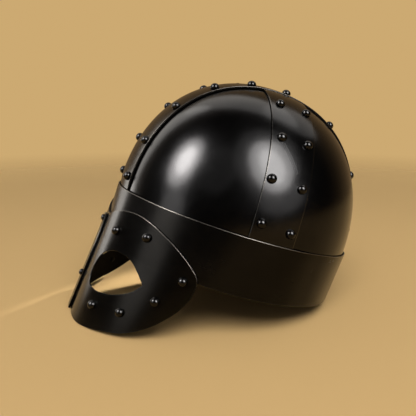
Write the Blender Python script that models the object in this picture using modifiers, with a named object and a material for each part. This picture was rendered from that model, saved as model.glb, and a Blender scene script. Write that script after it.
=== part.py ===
"""A riveted iron helmet with a spectacle mask, lying on its mask and its nape.

It is drawn upright first: the plane z = 0 is the upper edge of the brow band, -Y is the front
and +X is the wearer's left. At the end everything is tipped back as the helmet rests by itself,
on the lower edge of the mask and the foot of the brow band at the nape.
"""
import math

import bmesh
import bpy
from mathutils import Matrix, Vector

# Metal
SHEET = 0.0014
GAP = 0.0003
STRIP_THICK = 0.0021

# Skull: an ellipse in plan, a superellipse in profile
SKULL_LENGTH = 0.236
SKULL_WIDTH = 0.222
SKULL_RISE = 0.130
DOME_POWER = 2.2

# Brow band and what runs down inside it
BROW_HEIGHT = 0.0495
BROW_LEAN = 0.07
TUCK = 0.014
EASE = 0.030
EASE_START = 0.004

# Overlay bands
CREST_WIDTH = 0.058
CREST_THICK = 0.0021
CREST_FOOT = 0.012
LATERAL_WIDTH = 0.0406
BUTT_GAP = 0.0004

# Spectacle mask
MASK_REACH = 0.136
MASK_DROP = 0.1315
MASK_FLARE = 0.03
NOSE_FLAT = 0.0020
NOSE_FLAT_REACH = 0.022
NOSE_FLAT_DEPTH = 0.026
EYE_LENGTH = 0.066
EYE_HEIGHT = 0.042
EYE_SIDE = 0.0605
EYE_DEPTH = 0.0725

# Nose strip
STRIP_WIDTH = 0.012
STRIP_TOP = 0.032
STRIP_OVERHANG = 0.0005

# Rivets
RIVET_DIAMETER = 0.0084
RIVET_RISE = 0.0041
STRIP_RIVET_DIAMETER = 0.0062
STRIP_RIVET_RISE = 0.0026
RIVET_SEAT = 0.0004
CREST_RIVET_INSET = 0.0067
LATERAL_RIVET_INSET = 0.0072

# How finely the round shapes are divided
RING_STEPS = 72
DOME_ROWS = 11
BAND_STEPS = 40
LATERAL_STEPS = 14
MASK_STEP = 0.008
RIVET_SIDES = 10

HALF_LENGTH = SKULL_LENGTH / 2
HALF_WIDTH = SKULL_WIDTH / 2
LAYER = SHEET + GAP
CREST_ROW = CREST_WIDTH / 2 - CREST_RIVET_INSET
LATERAL_ROW = LATERAL_WIDTH / 2 - LATERAL_RIVET_INSET

# The near half of the mask's outline: side as a share of MASK_REACH along the curve,
# depth below the brow band's upper edge as a share of MASK_DROP
MASK_OUTLINE = (
    # side, depth
    (0.000, 0.222),
    (0.120, 0.203),
    (0.250, 0.150),
    (0.430, 0.110),
    (0.570, 0.120),
    (0.695, 0.158),
    (0.813, 0.214),
    (0.930, 0.292),
    (0.986, 0.350),
    (1.000, 0.430),
    (0.975, 0.538),
    (0.900, 0.665),
    (0.800, 0.775),
    (0.680, 0.861),
    (0.560, 0.909),
    (0.460, 0.944),
    (0.360, 0.973),
    (0.260, 0.989),
    (0.120, 0.993),
    (0.000, 0.993),
)

# The near eye hole round its middle: along as a share of EYE_LENGTH, down as a share of
# EYE_HEIGHT; the corner rows keep their point
EYE_OUTLINE = (
    # along, down, corner
    (-0.490, 0.240, False),
    (-0.470, 0.000, False),
    (-0.385, -0.240, False),
    (-0.215, -0.430, False),
    (0.000, -0.495, False),
    (0.200, -0.455, False),
    (0.350, -0.320, False),
    (0.500, -0.120, True),
    (0.400, 0.080, False),
    (0.170, 0.320, False),
    (-0.060, 0.450, False),
    (-0.270, 0.500, False),
    (-0.430, 0.430, False),
)

# Crest rivets as shares of the crest's length, from brow to nape
CREST_RIVETS = (0.030, 0.123, 0.229, 0.331, 0.422, 0.513, 0.655, 0.800, 0.945)

# Lateral rivets, from crest to brow: down as a share of the band's length, aside as a share
# of LATERAL_ROW, front column and rear column
LATERAL_RIVETS = (
    # front down, front aside, rear down, rear aside
    (0.200, 0.85, 0.200, 1.13),
    (0.452, 0.88, 0.447, 0.99),
    (0.685, 1.14, 0.693, 0.99),
    (0.914, 1.03, 0.927, 1.03),
)

# Mask rivets on the near lobe: side as a share of MASK_REACH, depth as a share of MASK_DROP
MASK_RIVETS = (
    # side, depth
    (0.321, 0.273),
    (0.594, 0.218),
    (0.912, 0.391),
    (0.805, 0.575),
    (0.617, 0.739),
    (0.378, 0.803),
)

# Nose strip rivets as shares of the strip's length
STRIP_RIVETS = (0.042, 0.634)

IRON = (0.016, 0.016, 0.017)


def metal(name, colour, roughness):
    """A dark metal for one piece."""
    material = bpy.data.materials.new(name)
    material.use_nodes = True
    shader = material.node_tree.nodes["Principled BSDF"]
    shader.inputs["Base Color"].default_value = (*colour, 1.0)
    shader.inputs["Roughness"].default_value = roughness
    shader.inputs["Metallic"].default_value = 0.9
    material.diffuse_color = (*colour, 1.0)
    return material


def smooth_step(share):
    """Ease from 0 to 1 without a corner."""
    share = min(max(share, 0.0), 1.0)
    return share * share * (3.0 - 2.0 * share)


def forward(depth):
    """How far the wall at this depth below the brow's upper edge stands forward."""
    return BROW_LEAN * depth + MASK_FLARE * max(depth - BROW_HEIGHT, 0.0)


def nose_flat(x, y, depth):
    """How far the wall over the nose lies back, where the riveted strip draws it flat."""
    if y > 0.0:
        return 0.0
    return NOSE_FLAT * min(depth / NOSE_FLAT_DEPTH, 1.0) * math.exp(-(x / NOSE_FLAT_REACH) ** 2)


def band_under(x, y):
    """1 where a crest or lateral band runs under the brow band, easing to 0 beside it."""
    from_crest = abs(x) - CREST_WIDTH / 2 - EASE_START
    from_lateral = abs(y) - LATERAL_WIDTH / 2 - EASE_START
    return smooth_step(1.0 - min(from_crest, from_lateral) / EASE)


def ring_point(angle, depth, lift, over_bands=True):
    """A point of the wall at a plan angle from the front; lift is its distance from the skull."""
    x = HALF_WIDTH * math.sin(angle)
    y = -HALF_LENGTH * math.cos(angle)
    normal = Vector((x / HALF_WIDTH ** 2, y / HALF_LENGTH ** 2, 0.0)).normalized()
    if over_bands:
        lift = lift + LAYER * band_under(x, y)
    return Vector((x, y - forward(depth) + nose_flat(x, y, depth), -depth)) + normal * lift


def dome_point(x, y, lift):
    """The point of the dome over x, y, moved out by lift."""
    plan = min(math.hypot(x / HALF_WIDTH, y / HALF_LENGTH), 1.0)
    z = SKULL_RISE * (1.0 - plan ** DOME_POWER) ** (1.0 / DOME_POWER)
    if plan < 1e-6:
        return Vector((x, y, z + lift))
    pull = plan ** (DOME_POWER - 2.0)
    normal = Vector((
        x / HALF_WIDTH ** 2 * pull,
        y / HALF_LENGTH ** 2 * pull,
        (z / SKULL_RISE) ** (DOME_POWER - 1.0) / SKULL_RISE,
    )).normalized()
    return Vector((x, y, z)) + normal * lift


def crest_point(x, turn, lift):
    """A point on a fore-and-aft line at x; turn runs from 0 at the brow to pi at the nape."""
    reach = HALF_LENGTH * math.sqrt(1.0 - (x / HALF_WIDTH) ** 2)
    return dome_point(x, -reach * math.cos(turn), lift)


def crest_thickness(x, turn):
    """The crest band is a heavy sheet, drawn down to SHEET where the brow band grips its ends."""
    height = crest_point(x, turn, 0.0).z
    return SHEET + (CREST_THICK - SHEET) * smooth_step(height / CREST_FOOT)


def lateral_point(y, turn, lift, side):
    """A point on a crosswise line at y; turn runs from 0 over the crest to pi / 2 at the brow."""
    reach = HALF_WIDTH * math.sqrt(1.0 - (y / HALF_LENGTH) ** 2)
    return dome_point(side * reach * math.sin(turn), y, lift)


def tuck_point(x, y, lift):
    """The point TUCK below the brow's upper edge, straight under the dome's foot at x, y."""
    angle = math.atan2(x / HALF_WIDTH, -y / HALF_LENGTH)
    return ring_point(angle, TUCK, lift, over_bands=False)


def grid_mesh(name, rows, closed=False):
    """A mesh of quads through rows of points, each row as long as the next."""
    mesh = bpy.data.meshes.new(name)
    build = bmesh.new()
    grid = [[build.verts.new(point) for point in row] for row in rows]
    columns = len(rows[0])
    last = columns if closed else columns - 1
    for lower, upper in zip(grid, grid[1:]):
        for column in range(last):
            after = (column + 1) % columns
            build.faces.new((lower[column], lower[after], upper[after], upper[column]))
    build.to_mesh(mesh)
    build.free()
    return mesh


def sheet_mesh(name, inner, outer):
    """A closed sheet between two faces, each given as rows of points."""
    mesh = bpy.data.meshes.new(name)
    build = bmesh.new()
    faces = [[[build.verts.new(point) for point in row] for row in rows] for rows in (inner, outer)]
    rims = []
    for grid in faces:
        for lower, upper in zip(grid, grid[1:]):
            for column in range(len(lower) - 1):
                after = column + 1
                build.faces.new((lower[column], lower[after], upper[after], upper[column]))
        rims.append(grid[0] + [row[-1] for row in grid[1:-1]] + grid[-1][::-1])
        rims[-1] += [row[0] for row in grid[-2:0:-1]]
    count = len(rims[0])
    for place in range(count):
        after = (place + 1) % count
        build.faces.new((rims[0][place], rims[0][after], rims[1][after], rims[1][place]))
    bmesh.ops.recalc_face_normals(build, faces=build.faces)
    build.to_mesh(mesh)
    build.free()
    return mesh


def add_object(name, mesh, material):
    """An object of this mesh in the helmet's collection."""
    thing = bpy.data.objects.new(name, mesh)
    mesh.materials.clear()
    mesh.materials.append(material)
    helmet.objects.link(thing)
    return thing


def give_wall(thing, thickness, outwards=True):
    """Turn an open surface into a sheet of this thickness."""
    solid = thing.modifiers.new("sheet", "SOLIDIFY")
    solid.thickness = thickness
    solid.offset = 1.0 if outwards else -1.0
    solid.use_even_offset = True
    solid.use_quality_normals = True


def make_skull(material):
    """The bowl: a ring tucked inside the brow band, then rows up to a closed crown."""
    angles = [2.0 * math.pi * step / RING_STEPS for step in range(RING_STEPS)]
    rows = [[ring_point(angle, TUCK, 0.0, over_bands=False) for angle in angles]]
    for row in range(DOME_ROWS):
        rise = 0.5 * math.pi * row / DOME_ROWS
        plan = math.cos(rise) ** (2.0 / DOME_POWER)
        x_reach, y_reach = HALF_WIDTH * plan, HALF_LENGTH * plan
        rows.append([dome_point(x_reach * math.sin(a), -y_reach * math.cos(a), 0.0) for a in angles])
    mesh = grid_mesh("skull", rows, closed=True)
    build = bmesh.new()
    build.from_mesh(mesh)
    crown = build.verts.new((0.0, 0.0, SKULL_RISE))
    rim = [edge for edge in build.edges if edge.is_boundary and edge.verts[0].co.z > 0.0]
    for edge in rim:
        build.faces.new((edge.verts[0], edge.verts[1], crown))
    bmesh.ops.recalc_face_normals(build, faces=build.faces)
    build.to_mesh(mesh)
    build.free()
    give_wall(add_object("skull", mesh, material), SHEET, outwards=False)


def make_crest_band(material):
    """The wide strip from brow to nape, its ends inside the brow band."""
    columns = 6
    lines = [CREST_WIDTH * (column / columns - 0.5) for column in range(columns + 1)]
    turns = [math.pi * step / BAND_STEPS for step in range(BAND_STEPS + 1)]
    faces = []
    for share in (0, 1):
        front = [tuck_point(x, crest_point(x, 0.0, 0.0).y, GAP + SHEET * share) for x in lines]
        rear = [tuck_point(x, crest_point(x, math.pi, 0.0).y, GAP + SHEET * share) for x in lines]
        over = [[crest_point(x, turn, GAP + crest_thickness(x, turn) * share) for x in lines]
                for turn in turns]
        faces.append([front, *over, rear])
    add_object("crest_band", sheet_mesh("crest_band", *faces), material)


def lateral_start(y):
    """The turn at which a lateral band meets the crest band's edge."""
    reach = HALF_WIDTH * math.sqrt(1.0 - (y / HALF_LENGTH) ** 2)
    return math.asin((CREST_WIDTH / 2 + BUTT_GAP) / reach)


def make_lateral_band(name, side, material):
    """A strip from the crest band's edge down to the ear, its foot inside the brow band."""
    columns = 4
    lines = [side * LATERAL_WIDTH * (column / columns - 0.5) for column in range(columns + 1)]
    rows = []
    for step in range(LATERAL_STEPS + 1):
        share = step / LATERAL_STEPS
        turns = [lateral_start(y) + (0.5 * math.pi - lateral_start(y)) * share for y in lines]
        rows.append([lateral_point(y, turn, GAP, side) for y, turn in zip(lines, turns)])
    feet = [lateral_point(y, 0.5 * math.pi, 0.0, side) for y in lines]
    rows.append([tuck_point(foot.x, foot.y, GAP) for foot in feet])
    rows.reverse()
    give_wall(add_object(name, grid_mesh(name, rows), material), SHEET)


def brow_lift():
    """Where the brow band's inner face lies, away from the bands that it covers."""
    return GAP


def mask_lift():
    """Where the mask's inner face lies, on the brow band."""
    return brow_lift() + LAYER


def make_brow_band(material):
    """The ring round the foot of the skull."""
    angles = [2.0 * math.pi * step / RING_STEPS for step in range(RING_STEPS)]
    depths = (BROW_HEIGHT, NOSE_FLAT_DEPTH, 0.0)
    rows = [[ring_point(a, depth, brow_lift()) for a in angles] for depth in depths]
    mesh = grid_mesh("brow_band", rows, closed=True)
    give_wall(add_object("brow_band", mesh, material), SHEET)


def arc_angle(side):
    """The plan angle at a signed distance along the curve from the front."""
    steps = 200
    goal = abs(side)
    angle = 0.0
    turn = math.pi / steps
    walked = 0.0
    while walked < goal and angle < math.pi:
        middle = angle + turn / 2
        stride = math.hypot(HALF_WIDTH * math.cos(middle), HALF_LENGTH * math.sin(middle)) * turn
        if walked + stride > goal:
            angle += turn * (goal - walked) / stride
            break
        walked += stride
        angle += turn
    return math.copysign(angle, side)


def mask_point(side, depth, lift):
    """A flat outline's point wrapped round the helmet."""
    return ring_point(arc_angle(side), depth, lift)


def outline_spline(curve, points, corners):
    """One closed line of a flat outline, smooth but for its corners."""
    spline = curve.splines.new("BEZIER")
    spline.bezier_points.add(len(points) - 1)
    spline.use_cyclic_u = True
    spline.resolution_u = 3
    for knot, point, corner in zip(spline.bezier_points, points, corners):
        knot.co = (point[0], point[1], 0.0)
        handle = "VECTOR" if corner else "AUTO"
        knot.handle_left_type = handle
        knot.handle_right_type = handle


def mask_outline():
    """The whole mask outline, the near half and its mirror image."""
    near = [(MASK_REACH * side, -MASK_DROP * depth) for side, depth in MASK_OUTLINE]
    far = [(-side, depth) for side, depth in reversed(near[1:-1])]
    points = near + far
    corners = [index == 0 for index in range(len(points))]
    return points, corners


def eye_outline(side):
    """One eye hole's outline, for the side +1 or -1."""
    points = []
    for along, down, _ in EYE_OUTLINE:
        points.append((side * (EYE_SIDE + EYE_LENGTH * along), -(EYE_DEPTH + EYE_HEIGHT * down)))
    return points, [corner for _, _, corner in EYE_OUTLINE]


def flat_plate(name, outlines):
    """A flat mesh filled between outlines."""
    curve = bpy.data.curves.new(name, "CURVE")
    curve.dimensions = "2D"
    curve.fill_mode = "BOTH"
    for points, corners in outlines:
        outline_spline(curve, points, corners)
    guide = bpy.data.objects.new(name + "_flat", curve)
    helmet.objects.link(guide)
    bpy.context.view_layer.update()
    mesh = bpy.data.meshes.new_from_object(guide.evaluated_get(bpy.context.evaluated_depsgraph_get()))
    bpy.data.objects.remove(guide)
    return mesh


def slice_plate(build, place, normal):
    """Cut a flat mesh along one line, keeping both sides."""
    everything = list(build.verts) + list(build.edges) + list(build.faces)
    bmesh.ops.bisect_plane(build, geom=everything, dist=1e-7, plane_co=place, plane_no=normal)


def wrap_plate(name, build, thickness, lift, material):
    """Give a flat plate its thickness, wrap it round the helmet and make it an object."""
    sheet = bmesh.ops.extrude_face_region(build, geom=list(build.faces))
    for item in sheet["geom"]:
        if isinstance(item, bmesh.types.BMVert):
            item.co.z += thickness
    bmesh.ops.recalc_face_normals(build, faces=build.faces)
    for vert in build.verts:
        vert.co = mask_point(vert.co.x, -vert.co.y, lift + vert.co.z)
    mesh = bpy.data.meshes.new(name)
    build.to_mesh(mesh)
    build.free()
    return add_object(name, mesh, material)


def make_mask(material):
    """The plate with two lobes and two eye holes, cut flat and then wrapped round the brow."""
    flat = flat_plate("spectacle_mask_flat", [mask_outline(), eye_outline(1), eye_outline(-1)])
    build = bmesh.new()
    build.from_mesh(flat)
    bpy.data.meshes.remove(flat)
    bmesh.ops.remove_doubles(build, verts=build.verts, dist=1e-6)
    steps = int(MASK_REACH / MASK_STEP)
    for step in range(-steps, steps + 1):
        slice_plate(build, (MASK_STEP * step, 0.0, 0.0), (1.0, 0.0, 0.0))
    for depth in (NOSE_FLAT_DEPTH, BROW_HEIGHT):
        slice_plate(build, (0.0, -depth, 0.0), (0.0, 1.0, 0.0))
    wrap_plate("spectacle_mask", build, SHEET, mask_lift(), material)


def strip_lift():
    """Where the nose strip's inner face lies, on the mask."""
    return mask_lift() + LAYER


def strip_foot():
    """The depth of the strip's lower end; it follows the mask's."""
    return MASK_DROP * MASK_OUTLINE[-1][1] + STRIP_OVERHANG


def make_nose_strip(material):
    """The narrow bar down the middle of the mask."""
    build = bmesh.new()
    sides = [STRIP_WIDTH * share for share in (-0.5, 0.0, 0.5)]
    depths = [strip_foot(), BROW_HEIGHT, STRIP_TOP]
    grid = [[build.verts.new((side, -depth, 0.0)) for side in sides] for depth in depths]
    for lower, upper in zip(grid, grid[1:]):
        for column in range(2):
            build.faces.new((lower[column], lower[column + 1], upper[column + 1], upper[column]))
    wrap_plate("nose_strip", build, STRIP_THICK, strip_lift(), material)


def rivet_mesh(name, diameter, rise):
    """A domed head with its flat underside at z = 0."""
    mesh = bpy.data.meshes.new(name)
    build = bmesh.new()
    bmesh.ops.create_uvsphere(build, u_segments=RIVET_SIDES, v_segments=6, radius=diameter / 2)
    lower = [vert for vert in build.verts if vert.co.z < -diameter / 50]
    bmesh.ops.delete(build, geom=lower, context="VERTS")
    for vert in build.verts:
        vert.co.z *= rise / (diameter / 2)
    bmesh.ops.holes_fill(build, edges=[edge for edge in build.edges if edge.is_boundary])
    bmesh.ops.recalc_face_normals(build, faces=build.faces)
    build.to_mesh(mesh)
    build.free()
    mesh.shade_smooth()
    return mesh


def make_rivet(name, surface, first, second, shape=None):
    """A rivet on surface(first, second, lift), square to that surface."""
    step = RIVET_DIAMETER / 4
    seat = surface(first[0], second[0], SHEET + RIVET_SEAT)
    along = surface(first[0] + first[1] * step, second[0], 0.0)
    along -= surface(first[0] - first[1] * step, second[0], 0.0)
    across = surface(first[0], second[0] + second[1] * step, 0.0)
    across -= surface(first[0], second[0] - second[1] * step, 0.0)
    normal = along.cross(across).normalized()
    if normal.dot(seat - Vector((0.0, 0.0, -SKULL_RISE / 4))) < 0.0:
        normal.negate()
    head = add_object(name, shape or rivet_shape, rivet_metal)
    turn = normal.to_track_quat("Z", "Y").to_matrix().to_4x4()
    head.matrix_world = Matrix.Translation(seat) @ turn


def turn_at_share(line, start, end, share):
    """The turn that lies at this share of a line's length."""
    steps = 240
    turns = [start + (end - start) * step / steps for step in range(steps + 1)]
    places = [line(turn) for turn in turns]
    lengths = [0.0]
    for before, after in zip(places, places[1:]):
        lengths.append(lengths[-1] + (after - before).length)
    goal = share * lengths[-1]
    for index in range(steps):
        if lengths[index + 1] >= goal:
            part = (goal - lengths[index]) / (lengths[index + 1] - lengths[index])
            return turns[index] + (turns[index + 1] - turns[index]) * part
    return end


def crest_top(x, turn, lift):
    """A point off the crest band, where a lift of SHEET is its outer face."""
    return crest_point(x, turn, GAP + crest_thickness(x, turn) - SHEET + lift)


def make_crest_rivets():
    """Two rows along the crest band."""
    for side, mark in ((1, "left"), (-1, "right")):
        x = side * CREST_ROW
        for number, share in enumerate(CREST_RIVETS, start=1):
            turn = turn_at_share(lambda t: crest_point(x, t, 0.0), 0.0, math.pi, share)
            make_rivet(
                f"crest_rivet_{mark}_{number:02d}", crest_top,
                (x, 1.0), (turn, 1.0 / HALF_LENGTH))


def make_lateral_rivets():
    """Two columns down each lateral band."""
    for side, mark in ((1, "left"), (-1, "right")):
        for column, (place, way) in enumerate((("front", -1), ("rear", 1))):
            for number, row in enumerate(LATERAL_RIVETS, start=1):
                down, aside = row[2 * column:2 * column + 2]
                y = way * LATERAL_ROW * aside
                turn = turn_at_share(
                    lambda t: lateral_point(y, t, 0.0, side),
                    lateral_start(y), 0.5 * math.pi, down)
                make_rivet(
                    f"lateral_rivet_{mark}_{place}_{number}",
                    lambda line, t, lift: lateral_point(line, t, GAP + lift, side),
                    (y, 1.0), (turn, 1.0 / HALF_WIDTH))


def make_mask_rivets():
    """Six rivets on each lobe, and the nose strip's own."""
    for side, mark in ((1, "left"), (-1, "right")):
        for number, (along, depth) in enumerate(MASK_RIVETS, start=1):
            make_rivet(
                f"mask_rivet_{mark}_{number}",
                lambda arc, down, lift: mask_point(arc, down, mask_lift() + lift),
                (side * MASK_REACH * along, 1.0), (MASK_DROP * depth, 1.0))
    for number, share in enumerate(STRIP_RIVETS, start=1):
        depth = STRIP_TOP + (strip_foot() - STRIP_TOP) * share
        make_rivet(
            f"strip_rivet_{number}",
            lambda arc, down, lift: mask_point(arc, down, strip_lift() + STRIP_THICK - SHEET + lift),
            (0.0, 1.0), (depth, 1.0), strip_rivet_shape)


def rest_angle():
    """How far the helmet tips back until the mask's lower edge and the nape rim share a floor."""
    nape = ring_point(math.pi, BROW_HEIGHT, brow_lift() + SHEET)
    steepest = 0.0
    for side, depth in MASK_OUTLINE:
        for lift in (mask_lift(), mask_lift() + SHEET):
            foot = mask_point(MASK_REACH * side, MASK_DROP * depth, lift)
            steepest = max(steepest, math.atan2(nape.z - foot.z, nape.y - foot.y))
    return steepest


def stand_on_floor():
    """Tip the helmet back and set the middle of its box over the origin, on the floor."""
    tip = Matrix.Rotation(-rest_angle(), 4, "X")
    bpy.context.view_layer.update()
    for thing in helmet.objects:
        thing.matrix_world = tip @ thing.matrix_world
    bpy.context.view_layer.update()
    graph = bpy.context.evaluated_depsgraph_get()
    corners = []
    for thing in helmet.objects:
        shape = thing.evaluated_get(graph)
        corners += [shape.matrix_world @ vert.co for vert in shape.to_mesh().vertices]
    middle = [(min(c[axis] for c in corners) + max(c[axis] for c in corners)) / 2 for axis in (0, 1)]
    floor = min(corner.z for corner in corners)
    shift = Matrix.Translation((-middle[0], -middle[1], -floor))
    for thing in helmet.objects:
        thing.matrix_world = shift @ thing.matrix_world


for old in list(bpy.data.objects):
    bpy.data.objects.remove(old)

helmet = bpy.data.collections.new("norse_iron_helmet")
bpy.context.scene.collection.children.link(helmet)

make_skull(metal("skull_iron", IRON, 0.22))
make_crest_band(metal("crest_iron", IRON, 0.25))
make_lateral_band("lateral_band_left", 1, metal("lateral_left_iron", IRON, 0.24))
make_lateral_band("lateral_band_right", -1, metal("lateral_right_iron", IRON, 0.24))
make_brow_band(metal("brow_iron", IRON, 0.26))
make_mask(metal("mask_iron", IRON, 0.28))
make_nose_strip(metal("strip_iron", IRON, 0.26))
rivet_metal = metal("rivet_iron", IRON, 0.2)
rivet_shape = rivet_mesh("rivet", RIVET_DIAMETER, RIVET_RISE)
strip_rivet_shape = rivet_mesh("strip_rivet", STRIP_RIVET_DIAMETER, STRIP_RIVET_RISE)
make_crest_rivets()
make_lateral_rivets()
make_mask_rivets()
stand_on_floor()
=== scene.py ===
# %% [markdown]
# # A riveted iron helmet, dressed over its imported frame
#
# The frame is a set of plain solids at their real size: a domed skull, the bands over it, a brow
# band, a spectacle mask, a nose strip and the rivets. This script gives each of them a fine surface
# and a finish, and never moves one. It is a lesson as well: every step says what the piece is on
# the real helmet, how it could be made in Blender, and why this way was taken.

import math

import bmesh
import bpy
import numpy as np
from mathutils import Matrix, Vector


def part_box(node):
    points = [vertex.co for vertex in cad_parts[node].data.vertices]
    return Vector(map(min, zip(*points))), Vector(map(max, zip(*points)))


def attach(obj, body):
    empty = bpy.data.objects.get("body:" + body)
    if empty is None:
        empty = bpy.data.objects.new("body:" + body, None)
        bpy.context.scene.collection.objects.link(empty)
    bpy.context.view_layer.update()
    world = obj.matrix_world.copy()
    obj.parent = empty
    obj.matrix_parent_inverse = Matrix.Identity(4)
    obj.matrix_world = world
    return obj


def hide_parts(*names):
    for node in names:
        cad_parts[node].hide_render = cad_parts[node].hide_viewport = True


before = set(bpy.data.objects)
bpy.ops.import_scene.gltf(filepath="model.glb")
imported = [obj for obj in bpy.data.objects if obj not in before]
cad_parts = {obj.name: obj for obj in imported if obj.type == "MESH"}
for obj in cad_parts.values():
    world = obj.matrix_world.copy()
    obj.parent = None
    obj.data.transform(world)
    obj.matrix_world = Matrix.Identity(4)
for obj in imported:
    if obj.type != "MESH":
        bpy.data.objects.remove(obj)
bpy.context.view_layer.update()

# %% [markdown]
# ## The sizes that the pieces share
#
# A smith's helmet is a stack of sheets. The skull comes first, the crest and side bands lie on it,
# the brow band closes over their feet, the mask lies on the brow band and the nose strip on the
# mask. One number, the lift, says how far a face stands off the skull, so each layer's lift is the
# one below it plus a sheet and a hair of air. The crest is a heavier sheet, drawn down to the
# others' thickness where the brow band grips its ends. The numbers are the ones that the solids
# were made from, in metres.

# %% Named sizes
SHEET = 0.0014
GAP = 0.0003
LAYER = SHEET + GAP
STRIP_THICK = 0.0021

HALF_LENGTH = 0.236 / 2
HALF_WIDTH = 0.222 / 2
SKULL_RISE = 0.130
DOME_POWER = 2.2

BROW_HEIGHT = 0.0495
BROW_LEAN = 0.07
TUCK = 0.014
EASE = 0.030
EASE_START = 0.004

CREST_WIDTH = 0.058
CREST_THICK = 0.0021
CREST_FOOT = 0.012
LATERAL_WIDTH = 0.0406
BUTT_GAP = 0.0004

MASK_REACH = 0.136
MASK_DROP = 0.1315
MASK_FLARE = 0.03
NOSE_FLAT = 0.0020
NOSE_FLAT_REACH = 0.022
NOSE_FLAT_DEPTH = 0.026
EYE_LENGTH = 0.066
EYE_HEIGHT = 0.042
EYE_SIDE = 0.0605
EYE_DEPTH = 0.0725

STRIP_WIDTH = 0.012
STRIP_TOP = 0.032
STRIP_OVERHANG = 0.0005

RIVET_DIAMETER = 0.0084
RIVET_RISE = 0.0041
STRIP_RIVET_DIAMETER = 0.0062
STRIP_RIVET_RISE = 0.0026
RIVET_SEAT = 0.0004
CREST_ROW = 0.0223
LATERAL_ROW = 0.0131

HAIR = 1e-6
SKULL_LIFT = 0.0
BAND_LIFT = GAP
BROW_LIFT = GAP
MASK_LIFT = BROW_LIFT + LAYER
STRIP_LIFT = MASK_LIFT + LAYER

# %% [markdown]
# ## Outlines and rivet places
#
# The mask is the one piece whose outline is listed point by point. It is kept as shares of the
# plate's reach and drop, from the middle of the brow down round one lobe to the nose, and the other
# half is its mirror image. Rivets sit in pairs along the bands, and their places are shares of each
# band's length: a smith punches them by eye, so the steps between them are not all alike.

# %% Outlines and rivet places
MASK_OUTLINE = (
    # side, depth
    (0.000, 0.222), (0.120, 0.203), (0.250, 0.150), (0.430, 0.110), (0.570, 0.120),
    (0.695, 0.158), (0.813, 0.214), (0.930, 0.292), (0.986, 0.350), (1.000, 0.430),
    (0.975, 0.538), (0.900, 0.665), (0.800, 0.775), (0.680, 0.861), (0.560, 0.909),
    (0.460, 0.944), (0.360, 0.973), (0.260, 0.989), (0.120, 0.993), (0.000, 0.993),
)
EYE_OUTLINE = (
    # along, down, corner
    (-0.490, 0.240, False), (-0.470, 0.000, False), (-0.385, -0.240, False),
    (-0.215, -0.430, False), (0.000, -0.495, False), (0.200, -0.455, False),
    (0.350, -0.320, False), (0.500, -0.120, True), (0.400, 0.080, False), (0.170, 0.320, False),
    (-0.060, 0.450, False), (-0.270, 0.500, False), (-0.430, 0.430, False),
)
CREST_RIVETS = (0.030, 0.123, 0.229, 0.331, 0.422, 0.513, 0.655, 0.800, 0.945)
LATERAL_RIVETS = (
    # front down, front aside, rear down, rear aside
    (0.200, 0.85, 0.200, 1.13),
    (0.452, 0.88, 0.447, 0.99),
    (0.685, 1.14, 0.693, 0.99),
    (0.914, 1.03, 0.927, 1.03),
)
MASK_RIVETS = (
    # side, depth
    (0.321, 0.273), (0.594, 0.218), (0.912, 0.391), (0.805, 0.575), (0.617, 0.739),
    (0.378, 0.803),
)
STRIP_RIVETS = (0.042, 0.634)
STRIP_FOOT = MASK_DROP * MASK_OUTLINE[-1][1] + STRIP_OVERHANG

# %% [markdown]
# ## The form that every sheet follows
#
# In plan the helmet is an ellipse and in profile a superellipse, which is a little squarer than a
# circle. Below the brow line the wall goes straight down and leans forward. Blender could wrap each
# plate with a Shrinkwrap modifier, but a formula keeps every layer exactly parallel to the next,
# so nothing ever pokes through. Each function takes a place on the helmet and a lift, and gives
# a point.

# %% The form as functions
def shares(steps):
    """Even steps from 0 to 1, both ends included."""
    return [step / steps for step in range(steps + 1)]


def smooth_step(share):
    """Ease from 0 to 1 without a corner."""
    share = min(max(share, 0.0), 1.0)
    return share * share * (3.0 - 2.0 * share)


def forward(depth):
    """How far the wall at this depth below the brow line stands forward."""
    return BROW_LEAN * depth + MASK_FLARE * max(depth - BROW_HEIGHT, 0.0)


def nose_flat(x, y, depth):
    """How far the wall over the nose lies back, where the riveted strip draws it flat."""
    if y > 0.0:
        return 0.0
    return NOSE_FLAT * min(depth / NOSE_FLAT_DEPTH, 1.0) * math.exp(-(x / NOSE_FLAT_REACH) ** 2)


def band_under(x, y):
    """1 where a crest or side band runs under the brow band, easing to 0 beside it."""
    from_crest = abs(x) - CREST_WIDTH / 2 - EASE_START
    from_lateral = abs(y) - LATERAL_WIDTH / 2 - EASE_START
    return smooth_step(1.0 - min(from_crest, from_lateral) / EASE)


def ring_point(angle, depth, lift, over_bands=True):
    """A point of the wall below the brow line, at a plan angle from the front."""
    x = HALF_WIDTH * math.sin(angle)
    y = -HALF_LENGTH * math.cos(angle)
    normal = Vector((x / HALF_WIDTH ** 2, y / HALF_LENGTH ** 2, 0.0)).normalized()
    if over_bands:
        lift = lift + LAYER * band_under(x, y)
    return Vector((x, y - forward(depth) + nose_flat(x, y, depth), -depth)) + normal * lift


def dome_point(x, y, lift):
    """The point of the dome over x, y, moved out by lift."""
    plan = min(math.hypot(x / HALF_WIDTH, y / HALF_LENGTH), 1.0)
    z = SKULL_RISE * (1.0 - plan ** DOME_POWER) ** (1.0 / DOME_POWER)
    if plan < HAIR:
        return Vector((x, y, z + lift))
    pull = plan ** (DOME_POWER - 2.0)
    normal = Vector((
        x / HALF_WIDTH ** 2 * pull,
        y / HALF_LENGTH ** 2 * pull,
        (z / SKULL_RISE) ** (DOME_POWER - 1.0) / SKULL_RISE,
    )).normalized()
    return Vector((x, y, z)) + normal * lift


def crest_point(x, turn, lift):
    """A point on a fore-and-aft line at x; turn runs from 0 at the brow to pi at the nape."""
    reach = HALF_LENGTH * math.sqrt(1.0 - (x / HALF_WIDTH) ** 2)
    return dome_point(x, -reach * math.cos(turn), lift)


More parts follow.
